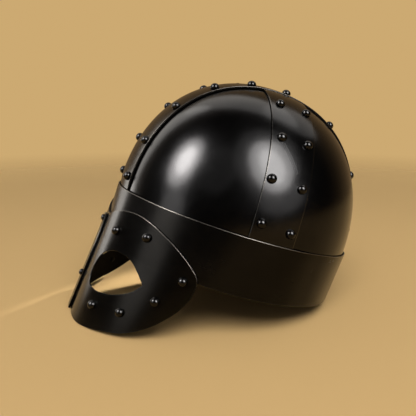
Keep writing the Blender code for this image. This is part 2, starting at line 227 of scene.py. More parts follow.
def crest_thickness(x, turn):
    """The crest band is a heavy sheet, drawn down to SHEET where the brow band grips its ends."""
    height = crest_point(x, turn, 0.0).z
    return SHEET + (CREST_THICK - SHEET) * smooth_step(height / CREST_FOOT)


def crest_top(x, turn, lift):
    """A point off the crest band's outer face."""
    return crest_point(x, turn, BAND_LIFT + crest_thickness(x, turn) + lift)


def lateral_point(y, turn, lift, side):
    """A point on a crosswise line at y; turn runs from 0 over the crest to pi / 2 at the brow."""
    reach = HALF_WIDTH * math.sqrt(1.0 - (y / HALF_LENGTH) ** 2)
    return dome_point(side * reach * math.sin(turn), y, lift)


def lateral_start(y):
    """The turn at which a side band meets the crest band's edge."""
    reach = HALF_WIDTH * math.sqrt(1.0 - (y / HALF_LENGTH) ** 2)
    return math.asin((CREST_WIDTH / 2 + BUTT_GAP) / reach)


def tuck_point(x, y, depth, lift):
    """The point at a depth behind the brow band, straight under the dome's foot at x, y."""
    angle = math.atan2(x / HALF_WIDTH, -y / HALF_LENGTH)
    return ring_point(angle, depth, lift, over_bands=False)


ARC_STEPS = 4000
arc_angles = np.linspace(0.0, math.pi, ARC_STEPS + 1)
arc_middles = (arc_angles[1:] + arc_angles[:-1]) / 2
arc_strides = np.hypot(HALF_WIDTH * np.cos(arc_middles), HALF_LENGTH * np.sin(arc_middles))
arc_lengths = np.concatenate([[0.0], np.cumsum(arc_strides * math.pi / ARC_STEPS)])


def mask_point(side, depth, lift):
    """A flat outline's point, side along the curve from the front, wrapped round the helmet."""
    angle = math.copysign(float(np.interp(abs(side), arc_lengths, arc_angles)), side)
    return ring_point(angle, depth, lift)


print("half of the ring measures", round(float(arc_lengths[-1]), 4), "m along its curve")

# %% [markdown]
# ## From the upright drawing to the resting helmet
#
# The formulas draw the helmet upright, as it is worn. Put down, it tips back until the lower edge
# of the mask and the foot of the nape share the floor. The angle comes from the same sizes, and the
# small shift that centres it is read from the frame: the nose strip's box is compared with its own
# corners, so the dressing sits on the solids to a hair.

# %% The resting transform
def rest_angle():
    """How far the helmet tips back."""
    nape = ring_point(math.pi, BROW_HEIGHT, BROW_LIFT + SHEET)
    steepest = 0.0
    for side, depth in MASK_OUTLINE:
        for lift in (MASK_LIFT, MASK_LIFT + SHEET):
            foot = mask_point(MASK_REACH * side, MASK_DROP * depth, lift)
            steepest = max(steepest, math.atan2(nape.z - foot.z, nape.y - foot.y))
    return steepest


TIP = Matrix.Rotation(-rest_angle(), 4, "X")
strip_corners = [
    TIP @ mask_point(side * STRIP_WIDTH / 2, depth, lift)
    for side in (-1, 0, 1) for depth in (STRIP_TOP, BROW_HEIGHT, STRIP_FOOT)
    for lift in (STRIP_LIFT, STRIP_LIFT + STRIP_THICK)]
strip_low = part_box("nose_strip")[0]
STAND = Matrix.Translation((
    0.0,
    strip_low.y - min(corner.y for corner in strip_corners),
    strip_low.z - min(corner.z for corner in strip_corners),
)) @ TIP
UPRIGHT = STAND.inverted()
print("it tips back", round(math.degrees(rest_angle()), 2), "degrees and moves", STAND.translation)

# %% [markdown]
# ## Writing node trees as sums
#
# Shaders and geometry both grow out of node trees, and wiring twenty Math nodes by hand hides the
# idea. A small class wraps a socket, and the ordinary operators add the Math nodes. The reflected
# forms let a plain number stand on the left, as in 1 - mask. Anything else comes from one
# method that takes a node's type, its settings and the values of its sockets.

# %% A socket that can be added, multiplied and compared
def operator(operation):
    """A Python operator that adds a Math node."""
    return lambda self, other: self.math(operation, other)


class Socket:
    """A value in a node tree."""

    def __init__(self, tree, socket):
        self.tree = tree
        self.socket = socket

    def math(self, operation, *values):
        return Tree(self.tree).node(
            "ShaderNodeMath", {"operation": operation}, [self, *values])

    __add__ = __radd__ = operator("ADD")
    __mul__ = __rmul__ = operator("MULTIPLY")
    __sub__ = operator("SUBTRACT")
    __truediv__ = operator("DIVIDE")
    __pow__ = operator("POWER")
    __gt__ = operator("GREATER_THAN")

    def __rsub__(self, other):
        return (self * -1.0) + other

    def __rtruediv__(self, other):
        return (self ** -1.0) * other

    def clamp(self):
        return self.math("MAXIMUM", 0.0).math("MINIMUM", 1.0)

    def ramp(self, low, high):
        """0 at low and below, 1 at high and above, smooth between."""
        return Tree(self.tree).node(
            "ShaderNodeMapRange", {"interpolation_type": "SMOOTHSTEP"},
            [self, low, high, 0.0, 1.0])


class Tree:
    """A node tree being written."""

    def __init__(self, tree):
        self.tree = tree

    def node(self, kind, settings=None, values=(), output=0):
        """A node with its settings, then its inputs by place or by name; gives one output."""
        made = self.tree.nodes.new(kind)
        for name, value in (settings or {}).items():
            setattr(made, name, value)
        pairs = values.items() if isinstance(values, dict) else enumerate(values)
        for place, value in pairs:
            if value is None:
                continue
            if isinstance(value, Socket):
                self.tree.links.new(value.socket, made.inputs[place])
            else:
                made.inputs[place].default_value = value
        return Socket(self.tree, made.outputs[output])

    def noise(self, place, scale, detail, roughness, dimensions="3D"):
        """A cloudy pattern round 0.5."""
        return self.node("ShaderNodeTexNoise", {"noise_dimensions": dimensions}, {
            "Vector": place, "Scale": scale, "Detail": detail, "Roughness": roughness})

    def split(self, place):
        """The x, y and z of a vector."""
        made = self.tree.nodes.new("ShaderNodeSeparateXYZ")
        self.tree.links.new(place.socket, made.inputs[0])
        return [Socket(self.tree, output) for output in made.outputs]

    def measure(self, operation, *values):
        """A Vector Math node whose answer is a number."""
        return self.node("ShaderNodeVectorMath", {"operation": operation}, values, output=1)

    def mix(self, share, low, high):
        """The colour between two others."""
        return self.node(
            "ShaderNodeMix", {"data_type": "RGBA"}, {0: share, 6: low, 7: high}, output=2)


# %% [markdown]
# ## Making a sheet by sweeping its section
#
# A band of sheet metal has one section all along: a thin rectangle whose edges the file has
# rounded. Bevel and Solidify modifiers could make it from a ribbon, but the section is simple
# enough to sweep. The loop of section points is placed at every station, the quads run regularly
# along the band, and the gloss on them stays clean. Close beside each rounded corner sits one
# extra point, so that the smooth shading turns only where the edge turns.

# %% Sweeping a section
ROUNDING = 0.00035
CORNER_STEPS = 4
SUPPORT = 0.0004
EDGE_SUPPORT = 0.0001


def rounded_edge(edge, thickness, side, wear_and_highlight):
    """Points round a sheet's edge from the outer face to the inner, on the side +1 or -1."""
    points = []
    for step in range(CORNER_STEPS + 1):
        angle = 0.5 * math.pi * (1.0 - step / CORNER_STEPS)
        points.append((edge - ROUNDING + ROUNDING * math.cos(angle),
                       thickness - ROUNDING + ROUNDING * math.sin(angle), wear_and_highlight, 0.0))
    points.append((edge, thickness - ROUNDING - EDGE_SUPPORT, 0.0, 0.0))
    for step in range(CORNER_STEPS + 1):
        angle = -0.5 * math.pi * step / CORNER_STEPS
        points.append((edge - ROUNDING + ROUNDING * math.cos(angle),
                       ROUNDING + ROUNDING * math.sin(angle), 0.0, 1.0))
    return [(side * across, *rest) for across, *rest in points]


def section(width, thickness, columns, wear_and_highlight=(1.0, 1.0)):
    """A closed loop of (across, lift, rim, inner) points; the last argument says how bright the two
    edges turn: wear, and a painted highlight on the edge that catches the light.
    """
    flat = width / 2 - ROUNDING - SUPPORT
    line = [flat * (2.0 * part - 1.0) for part in shares(columns)]
    loop = [(across, thickness, 0.0, 0.0) for across in line]
    loop += rounded_edge(width / 2, thickness, 1.0, wear_and_highlight[0])
    loop += [(across, 0.0, 0.0, 1.0) for across in reversed(line)]
    loop += reversed(rounded_edge(width / 2, thickness, -1.0, wear_and_highlight[1]))
    return loop


def add_object(name, data):
    """A new object in the scene."""
    thing = bpy.data.objects.new(name, data)
    bpy.context.scene.collection.objects.link(thing)
    return thing


def evaluated_mesh(thing):
    """The plain mesh that an object's modifiers give, or its curve."""
    graph = bpy.context.evaluated_depsgraph_get()
    return bpy.data.meshes.new_from_object(thing.evaluated_get(graph))


def mesh_object(name, build):
    """An object at the origin whose mesh already lies where the helmet rests."""
    mesh = bpy.data.meshes.new(name)
    build.to_mesh(mesh)
    build.free()
    thing = add_object(name, mesh)
    mesh.shade_smooth()
    return thing


def join_rows(build, before, after):
    """Faces between two closed rows of points."""
    for index in range(len(before)):
        follow = (index + 1) % len(before)
        build.faces.new((before[index], before[follow], after[follow], after[index]))


def sweep(name, loop, stations, place, ring=False):
    """Carry a section along stations; place(across, station, lift) gives each point."""
    build = bmesh.new()
    rim = build.verts.layers.float.new("rim")
    inner = build.verts.layers.float.new("inner")
    rows = []
    for station in stations:
        row = []
        for across, lift, wear_and_highlight, inside in loop:
            vert = build.verts.new(STAND @ place(across, station, lift))
            vert[rim], vert[inner] = wear_and_highlight, inside
            row.append(vert)
        rows.append(row)
    for before, after in zip(rows, rows[1:]):
        join_rows(build, before, after)
    if ring:
        join_rows(build, rows[-1], rows[0])
    else:
        for row in (rows[0], rows[-1]):
            for edge in build.faces.new(row).edges:
                edge.smooth = False
    bmesh.ops.recalc_face_normals(build, faces=build.faces)
    return mesh_object(name, build)


# %% [markdown]
# ## The skull
#
# The bowl is raised from one sheet, so its surface follows one rule from crown to foot, and a rule
# is what Geometry Nodes are for. A flat grid carries the turn round the helmet on one side and the
# climb to the crown on the other, and Set Position bends it into the dome. Sizes are named inputs
# of the tree. The result is turned into a plain mesh, its seam and crown are merged, and Solidify
# gives it its wall. The inner face gets a value of its own, for the duller finish and the near
# black painted shade that the shader puts there.

# %% The skull as a geometry tree
SKULL_TURNS = 240
SKULL_ROWS = 110
SKULL_SIZES = {
    "Half length": HALF_LENGTH,
    "Half width": HALF_WIDTH,
    "Rise": SKULL_RISE,
    "Power": DOME_POWER,
}


def start_tree(name, inputs):
    """A geometry tree with its inputs: the tree, the hand that writes it and the given sockets."""
    tree = bpy.data.node_groups.new(name, "GeometryNodeTree")
    inputs = {"Geometry": "Geometry", **inputs}
    for label, kind in inputs.items():
        tree.interface.new_socket(label, in_out="INPUT", socket_type="NodeSocket" + kind)
    tree.interface.new_socket("Geometry", in_out="OUTPUT", socket_type="NodeSocketGeometry")
    given = tree.nodes.new("NodeGroupInput")
    return tree, Tree(tree), {label: Socket(tree, given.outputs[label]) for label in inputs}


def end_tree(tree, write, shape):
    """Turn instances into real meshes, give them a material slot and end the tree."""
    whole = write.node("GeometryNodeRealizeInstances", None, [shape])
    finish = write.node("GeometryNodeSetMaterial", None, {"Geometry": whole})
    end = tree.nodes.new("NodeGroupOutput")
    tree.links.new(finish.socket, end.inputs[0])
    return tree


def skull_tree():
    """A grid bent into the dome."""
    tree, write, size = start_tree("skull dome", {name: "Float" for name in SKULL_SIZES})
    grid = write.node("GeometryNodeMeshGrid", None, [1.0, 1.0, SKULL_TURNS + 1, SKULL_ROWS + 1])
    x, y, _ = write.split(write.node("GeometryNodeInputPosition"))
    turn = (x + 0.5) * (2.0 * math.pi)
    climb = (y + 0.5) * (0.5 * math.pi)
    share = 2.0 / size["Power"]
    plan = climb.math("COSINE").math("MAXIMUM", 0.0) ** share
    rise = climb.math("SINE").math("MAXIMUM", 0.0) ** share
    bent = write.node("ShaderNodeCombineXYZ", None, [
        turn.math("SINE") * plan * size["Half width"],
        turn.math("COSINE") * plan * size["Half length"] * -1.0,
        rise * size["Rise"]])
    moved = write.node("GeometryNodeSetPosition", None, {"Geometry": grid, "Position": bent})
    return end_tree(tree, write, moved)


def run_tree(name, tree, inputs, start=None):
    """Evaluate a geometry tree on an object and keep the result as a plain mesh."""
    guide = add_object(name + "_guide", start or bpy.data.meshes.new(name + "_start"))
    modifier = guide.modifiers.new(name, "NODES")
    modifier.node_group = tree
    sockets = {item.name: item.identifier for item in tree.interface.items_tree
               if item.item_type == "SOCKET" and item.in_out == "INPUT"}
    for label, value in inputs.items():
        modifier[sockets[label]] = value
    result = evaluated_mesh(guide)
    bpy.data.objects.remove(guide)
    result.name = name
    return result


SKULL_TURN_ANGLES = [2.0 * math.pi * part for part in shares(SKULL_TURNS)[:-1]]
SKULL_FOOT_DEPTHS = (TUCK / 3, 2 * TUCK / 3, TUCK)
INNER_FORM = 0.985


def mark_inside(mesh):
    """Give the skull's inner face the value 1, for its duller finish and its near black painted
    shade.
    """
    layer = mesh.attributes.new("inner", "FLOAT", "POINT")
    for vert in mesh.vertices:
        x, y, z = UPRIGHT @ vert.co
        plan = math.hypot(x / HALF_WIDTH, (y + forward(max(-z, 0.0))) / HALF_LENGTH)
        form = plan ** DOME_POWER + (max(z, 0.0) / SKULL_RISE) ** DOME_POWER
        layer.data[vert.index].value = 1.0 if form < INNER_FORM else 0.0


def make_skull():
    """The dome from its tree, its foot behind the brow band, and its wall."""
    dome = run_tree("skull_dome", skull_tree(), SKULL_SIZES)
    build = bmesh.new()
    build.from_mesh(dome)
    bpy.data.meshes.remove(dome)
    bmesh.ops.remove_doubles(build, verts=build.verts, dist=HAIR)
    foot = {}
    for vert in build.verts:
        if vert.co.z < HAIR:
            turn = math.atan2(vert.co.x / HALF_WIDTH, -vert.co.y / HALF_LENGTH)
            foot[round(turn / (2.0 * math.pi / SKULL_TURNS)) % SKULL_TURNS] = vert
    before = [foot[step] for step in range(SKULL_TURNS)]
    for depth in SKULL_FOOT_DEPTHS:
        after = [build.verts.new(ring_point(angle, depth, SKULL_LIFT, over_bands=False))
                 for angle in SKULL_TURN_ANGLES]
        join_rows(build, before, after)
        before = after
    bmesh.ops.recalc_face_normals(build, faces=build.faces)
    build.transform(STAND)
    skull = mesh_object("skull_bowl", build)
    wall = skull.modifiers.new("wall", "SOLIDIFY")
    wall.thickness = SHEET
    wall.offset = -1.0
    wall.use_even_offset = True
    edge = skull.modifiers.new("edge", "BEVEL")
    edge.width = ROUNDING
    edge.segments = 2
    edge.limit_method = "ANGLE"
    mesh = evaluated_mesh(skull)
    skull.modifiers.clear()
    skull.data = mesh
    mark_inside(mesh)
    return skull


skull = make_skull()
print("the skull has", len(skull.data.polygons), "faces")

# %% [markdown]
# ## Crest band and side bands
#
# The crest band runs from brow to nape over the top, and each side band butts against its edge
# and runs down to the ear. All three are ribbons of one width bent over the bowl, so the same sweep
# makes them, each with its own rule for where a station lies. Two numbers say how bright each edge
# turns: partly black worn off to bare iron, partly a painted highlight on the edge that catches
# light.

# %% The bands
CREST_STATIONS = 200
CREST_COLUMNS = 18
LATERAL_STATIONS = 90
LATERAL_COLUMNS = 14
# front edge, rear edge: the rear edge's extra brightness is a painted highlight
LATERAL_WEAR_AND_HIGHLIGHT = (0.6, 1.0)
TUCK_STATIONS = 4


def crest_place(across, station, lift):
    """Station -1 to 0 climbs out of the brow, 0 to pi goes over the top, past pi down the nape."""
    if station < 0.0 or station > math.pi:
        nape = station > math.pi
        depth = TUCK * (station - math.pi if nape else -station)
        foot = crest_point(across, math.pi if nape else 0.0, 0.0)
        return tuck_point(foot.x, foot.y, depth, BAND_LIFT + lift * SHEET / CREST_THICK)
    share = crest_thickness(across, station) / CREST_THICK
    return crest_point(across, station, BAND_LIFT + lift * share)


def make_crest_band():
    """The wide strip from brow to nape."""
    stations = [part - 1.0 for part in shares(TUCK_STATIONS)[:-1]]
    stations += [math.pi * part for part in shares(CREST_STATIONS)]
    stations += [math.pi + part for part in shares(TUCK_STATIONS)[1:]]
    return sweep(
        "crest_strip", section(CREST_WIDTH, CREST_THICK, CREST_COLUMNS), stations, crest_place)


def make_lateral_band(name, side):
    """A strip from the crest band's edge down to the ear, its foot behind the brow band."""
    def place(across, station, lift):
        y = -side * across
        if station > 1.0:
            foot = lateral_point(y, 0.5 * math.pi, 0.0, side)
            return tuck_point(foot.x, foot.y, TUCK * (station - 1.0), BAND_LIFT + lift)
        start = lateral_start(y)
        return lateral_point(y, start + (0.5 * math.pi - start) * station, BAND_LIFT + lift, side)

    stations = shares(LATERAL_STATIONS) + [1.0 + part for part in shares(TUCK_STATIONS)[1:]]
    return sweep(
        name, section(LATERAL_WIDTH, SHEET, LATERAL_COLUMNS, LATERAL_WEAR_AND_HIGHLIGHT), stations, place)


crest = make_crest_band()
lateral_left = make_lateral_band("lateral_strip_left", 1)
lateral_right = make_lateral_band("lateral_strip_right", -1)
print("band faces:", [len(band.data.polygons) for band in (crest, lateral_left, lateral_right)])

# %% [markdown]
# ## The brow band
#
# The brow band is a closed hoop that grips the feet of all the others. It swells by one layer
# where it rides over a band, and its upper edge catches a bright line of light, which is painted:
# that edge turns to bright bare iron far more than the lower one. The sweep goes all the way round,
# with the section standing upright.

# %% The brow band
BROW_STATIONS = 360
BROW_COLUMNS = 12
# upper edge, lower edge: the upper edge's bright line is a painted highlight
BROW_WEAR_AND_HIGHLIGHT = (1.0, 0.15)


def brow_place(across, station, lift):
    """The section runs up and down, and the station is the plan angle."""
    return ring_point(station, BROW_HEIGHT / 2 - across, BROW_LIFT + lift)


brow = sweep(
    "brow_hoop", section(BROW_HEIGHT, SHEET, BROW_COLUMNS, BROW_WEAR_AND_HIGHLIGHT),
    [2.0 * math.pi * part for part in shares(BROW_STATIONS)[:-1]], brow_place, ring=True)
print("the brow band has", len(brow.data.polygons), "faces")

# %% [markdown]
# ## The spectacle mask
#
# The mask is cut flat from sheet and then bent round the brow, and it is made here the same
# way. Curves give the outline and the two eye holes, a fill makes the plate, and a grid of cuts
# gives it enough points to bend. The rounded rim is laid round each outline as a few rows of quads,
# and every corner keeps the direction that it had on the flat plate, turned with the bend, so that
# the bent sheet shines without a ripple.

# %% Flat outlines
OUTLINE_RESOLUTION = 10


def outline_points(knots, corners):
    """Points of a smooth closed line through the knots, anticlockwise."""
    curve = bpy.data.curves.new("outline", "CURVE")
    curve.dimensions = "2D"
    curve.fill_mode = "NONE"
    spline = curve.splines.new("BEZIER")
    spline.bezier_points.add(len(knots) - 1)
    spline.use_cyclic_u = True
    spline.resolution_u = OUTLINE_RESOLUTION
    for point, knot, corner in zip(spline.bezier_points, knots, corners):
        point.co = (knot[0], knot[1], 0.0)
        handle = "VECTOR" if corner else "AUTO"
        point.handle_left_type = handle
        point.handle_right_type = handle
    guide = add_object("outline", curve)
    mesh = evaluated_mesh(guide)
    points = [vert.co.to_2d() for vert in mesh.vertices]
    bpy.data.objects.remove(guide)
    bpy.data.meshes.remove(mesh)
    area = sum(a.cross(b) for a, b in zip(points, points[1:] + points[:1]))
    return points if area > 0.0 else points[::-1]


def mask_outline():
    """The whole mask outline, the near half and its mirror image."""
    near = [(MASK_REACH * side, -MASK_DROP * depth) for side, depth in MASK_OUTLINE]
    far = [(-side, depth) for side, depth in reversed(near[1:-1])]
    knots = near + far
    return outline_points(knots, [index == 0 for index in range(len(knots))])


def eye_outline(side):
    """One eye hole's outline, for the side +1 or -1."""
    knots = [(side * (EYE_SIDE + EYE_LENGTH * along), -(EYE_DEPTH + EYE_HEIGHT * down))
             for along, down, _ in EYE_OUTLINE]
    return outline_points(knots, [corner for _, _, corner in EYE_OUTLINE])


# %% [markdown]
# The rows of the rim tell the shader where the edges turn to bright bare iron: partly wear, less
# round the eye holes, which hands seldom touch, and partly a painted highlight, strongest on the
# edges that face up, where the light falls.

# %% A plate cut flat, rounded and bent
PLATE_STEP = 0.0025
RIM_STEPS = 4
SIDE_WEAR = 0.15
EYE_WEAR_AND_HIGHLIGHT = 0.3
STRIP_WEAR_AND_HIGHLIGHT = 0.6
FACE_KEYS = ("face_x", "face_y", "face_z")


def rim_normals(points, hole):
    """The flat direction that leads out of the metal at each outline point."""
    normals = []
    for index, point in enumerate(points):
        before, after = points[index - 1], points[(index + 1) % len(points)]
        along = (after - point).normalized() + (point - before).normalized()
        out = Vector((along.y, -along.x)).normalized()
        normals.append(-out if hole else out)
    return normals


def flat_plate(outlines, thickness):
    """A flat plate with rounded rims; every point carries the way it faces."""
    build = bmesh.new()
    layers = [build.verts.layers.float.new(key) for key in (*FACE_KEYS, "rim", "inner")]

    def ring(points, height, ways, wear_and_highlight, inside):
        made = []
        for flat, way, edge in zip(points, ways, wear_and_highlight):
            vert = build.verts.new((flat.x, flat.y, height))
            for layer, value in zip(layers, (*way, edge, inside)):
                vert[layer] = value
            made.append(vert)
        return made

    top_edges, low_edges = [], []
    for points, hole, wear_and_highlight_level in outlines:
        normals = rim_normals(points, hole)
        inset = [point - out * (ROUNDING + SUPPORT) for point, out in zip(points, normals)]
        clean = [0.0] * len(points)
        # Edges that face up get a painted highlight on top of the wear, brighter the more they face
        # up.
        wear_and_highlight = [wear_and_highlight_level * (SIDE_WEAR + (1.0 - SIDE_WEAR) * max(out.y, 0.0)) for out in normals]
        rings = [ring(inset, thickness, [(0.0, 0.0, 1.0)] * len(points), clean, 0.0)]
        for level, centre, first in ((0, thickness - ROUNDING, 1.0), (1, ROUNDING, 0.0)):
            for step in range(RIM_STEPS + 1):
                angle = 0.5 * math.pi * (first - step / RIM_STEPS)
                across, rise = math.cos(angle), math.sin(angle)
                line = [point + out * ROUNDING * (across - 1.0)
                        for point, out in zip(points, normals)]
                ways = [(out.x * across, out.y * across, rise) for out in normals]
                rings.append(ring(
                    line, centre + ROUNDING * rise, ways, clean if level else wear_and_highlight, float(level)))
            if level == 0:
                rings.append(ring(points, centre - EDGE_SUPPORT, ways, clean, 0.0))
        rings.append(ring(inset, 0.0, [(0.0, 0.0, -1.0)] * len(points), clean, 1.0))
        for before, after in zip(rings, rings[1:]):
            join_rows(build, before, after)
        for edge_ring, edges in ((rings[0], top_edges), (rings[-1], low_edges)):
            for index, vert in enumerate(edge_ring):
                edges.append(build.edges.get((vert, edge_ring[(index + 1) % len(edge_ring)])))
    for edges, up in ((top_edges, 1.0), (low_edges, -1.0)):
        bmesh.ops.triangle_fill(build, use_beauty=True, edges=edges, normal=(0.0, 0.0, up))
    bmesh.ops.recalc_face_normals(build, faces=build.faces)
    return build


def cut_grid(build, low, high, step):
    """Cut a flat plate along a grid, so that it can bend."""
    for axis in (0, 1):
        count = int((high[axis] - low[axis]) / step)
        for index in range(1, count):
            place, way = [0.0, 0.0, 0.0], [0.0, 0.0, 0.0]
            place[axis] = low[axis] + (high[axis] - low[axis]) * index / count
            way[axis] = 1.0
            bmesh.ops.bisect_plane(
                build, geom=[*build.verts, *build.edges, *build.faces], dist=1e-7,
                plane_co=place, plane_no=way)


def bend(name, build, wrap):
    """Bend a flat plate with wrap(side, depth, lift), and turn its directions with it."""
    faces = [build.verts.layers.float[key] for key in FACE_KEYS]
    nudge = 1e-5
    normals = []
    build.verts.ensure_lookup_table()
    for vert in build.verts:
        side, depth, lift = vert.co.x, -vert.co.y, vert.co.z
        along = wrap(side + nudge, depth, lift) - wrap(side - nudge, depth, lift)
        upward = wrap(side, depth - nudge, lift) - wrap(side, depth + nudge, lift)
        along.normalize()
        upward.normalize()
        out = along.cross(upward)
        way = along * vert[faces[0]] + upward * vert[faces[1]] + out * vert[faces[2]]
        normals.append(way.normalized())
        vert.co = wrap(side, depth, lift)
    for key in FACE_KEYS:
        build.verts.layers.float.remove(build.verts.layers.float[key])
    thing = mesh_object(name, build)
    thing.data.normals_split_custom_set_from_vertices(normals)
    return thing


def make_mask():
    """The plate with two lobes and two eye holes."""
    outlines = [(mask_outline(), False, 1.0)]
    outlines += [(eye_outline(side), True, EYE_WEAR_AND_HIGHLIGHT) for side in (1, -1)]
    build = flat_plate(outlines, SHEET)
    cut_grid(build, (-MASK_REACH, -MASK_DROP), (MASK_REACH, 0.0), PLATE_STEP)
    return bend(
        "spectacle_plate", build,
        lambda side, depth, lift: STAND @ mask_point(side, depth, MASK_LIFT + lift))


mask = make_mask()
print("the mask has", len(mask.data.polygons), "faces")

# %% [markdown]
# ## The nose strip
#
# A narrow bar is riveted down the middle of the mask and gives the nose its ridge. It is thicker
# than the sheets, and its corners are cut square, so a plain rectangle goes through the same plate
# maker.

# %% The nose strip
def make_nose_strip():
    """The narrow bar down the middle of the mask."""
    half = STRIP_WIDTH / 2
    outline = [Vector(corner) for corner in (
        (-half, -STRIP_FOOT), (half, -STRIP_FOOT), (half, -STRIP_TOP), (-half, -STRIP_TOP))]
    build = flat_plate([(outline, False, STRIP_WEAR_AND_HIGHLIGHT)], STRIP_THICK)
    cut_grid(build, (-half, -STRIP_FOOT), (half, -STRIP_TOP), PLATE_STEP)
    return bend(
        "nose_bar", build,
        lambda side, depth, lift: STAND @ mask_point(side, depth, STRIP_LIFT + lift))


strip = make_nose_strip()
print("the nose strip has", len(strip.data.polygons), "faces")

# %% [markdown]
# ## Rivets
#
# A rivet is a round head outside and a flattened end inside. The forty-eight differ only in place,
# so they are points with a direction, and Geometry Nodes puts a head on each one, turned to the
# surface and a little uneven, as hammered heads are. The tree ends by realizing the instances,
# because an export keeps only real meshes.

# %% Where the rivets stand
LINE_STEPS = 240
INSIDE = Vector((0.0, 0.0, -SKULL_RISE / 4))


def turn_at_share(line, start, end, share):
    """The turn that lies at this share of a line's length."""
    turns = [start + (end - start) * part for part in shares(LINE_STEPS)]
    places = [line(turn) for turn in turns]
    lengths = [0.0]
    for before, after in zip(places, places[1:]):
        lengths.append(lengths[-1] + (after - before).length)
    return float(np.interp(share * lengths[-1], lengths, turns))


def stand_rivet(surface, first, second, lift, under):
    """Seat, direction and inner end of a rivet on surface(first, second, lift)."""
    nudge = 0.002
    seat = surface(first[0], second[0], lift)
    along = surface(first[0] + first[1] * nudge, second[0], lift)
    along -= surface(first[0] - first[1] * nudge, second[0], lift)
    across = surface(first[0], second[0] + second[1] * nudge, lift)
    across -= surface(first[0], second[0] - second[1] * nudge, lift)
    out = along.cross(across).normalized()
    if out.dot(seat - INSIDE) < 0.0:
        out.negate()
    return STAND @ seat, STAND.to_3x3() @ out, STAND @ (seat - out * under)


def crest_rivets():
    """Two rows along the crest band."""
    rivets = []
    for side in (1, -1):
        x = side * CREST_ROW
        for share in CREST_RIVETS:
            turn = turn_at_share(lambda t: crest_point(x, t, 0.0), 0.0, math.pi, share)
            rivets.append(stand_rivet(
                crest_top, (x, 1.0), (turn, 1.0 / HALF_LENGTH), 0.0,
                crest_thickness(x, turn) + BAND_LIFT + SHEET))
    return rivets


def lateral_rivets(side):
    """Two columns down a side band."""
    rivets = []
    for column, way in enumerate((-1, 1)):
        for row in LATERAL_RIVETS:
            down, aside = row[2 * column:2 * column + 2]
            y = way * LATERAL_ROW * aside
            turn = turn_at_share(
                lambda t: lateral_point(y, t, 0.0, side), lateral_start(y), 0.5 * math.pi, down)
            rivets.append(stand_rivet(
                lambda line, t, lift: lateral_point(line, t, lift, side),
                (y, 1.0), (turn, 1.0 / HALF_WIDTH), BAND_LIFT + SHEET, BAND_LIFT + 2.0 * SHEET))
    return rivets


def plate_rivets(places, lift, under):
    """Rivets on the mask or the strip, the upper ones through the brow band as well."""
    return [
        stand_rivet(
            mask_point, (side, 1.0), (depth, 1.0), lift,
            under + (LAYER if depth < BROW_HEIGHT else 0.0))
        for side, depth in places]


def mask_rivets(side):
    """Six rivets on one lobe."""
    places = [(side * MASK_REACH * along, MASK_DROP * drop) for along, drop in MASK_RIVETS]
    return plate_rivets(places, MASK_LIFT + SHEET, SHEET)


def strip_rivets():
    """The nose strip's two."""
    places = [(0.0, STRIP_TOP + (STRIP_FOOT - STRIP_TOP) * share) for share in STRIP_RIVETS]
    return plate_rivets(places, STRIP_LIFT + STRIP_THICK, STRIP_THICK + LAYER)


LEFT, RIGHT = 1, -1
rivet_pieces = {
    "crest_heads": (crest_rivets(), RIVET_DIAMETER, RIVET_RISE, 3),
    "lateral_heads_left": (lateral_rivets(LEFT), RIVET_DIAMETER, RIVET_RISE, 5),
    "lateral_heads_right": (lateral_rivets(RIGHT), RIVET_DIAMETER, RIVET_RISE, 8),
    "mask_heads_left": (mask_rivets(LEFT), RIVET_DIAMETER, RIVET_RISE, 13),
    "mask_heads_right": (mask_rivets(RIGHT), RIVET_DIAMETER, RIVET_RISE, 21),
    "strip_heads": (strip_rivets(), STRIP_RIVET_DIAMETER, STRIP_RIVET_RISE, 34),
}
print("rivets:", {name: len(facts[0]) for name, facts in rivet_pieces.items()})

# %% [markdown]
# One ball serves for the head and for the flattened end: its upper half is raised or pressed to a
# dome of the wanted squareness, and its lower half is a short plug that sits in the plate.

# %% The rivet tree
HEAD_SIDES = 28
HEAD_RINGS = 18
TAIL_RISE = 0.0009
TAIL_SHARE = 0.72
UNEVEN_TILT = 0.05
UNEVEN_SIZE = 0.025
LEAST_PLAN = 0.0001
PLUG_START = -0.05
PLUG_SHARE = 0.96
HEAD_SQUARENESS = 2.3
TAIL_SQUARENESS = 4.0
RIVET_INPUTS = {
    "Diameter": "Float", "Rise": "Float", "Seat": "Float", "Squareness": "Float", "Seed": "Int"}


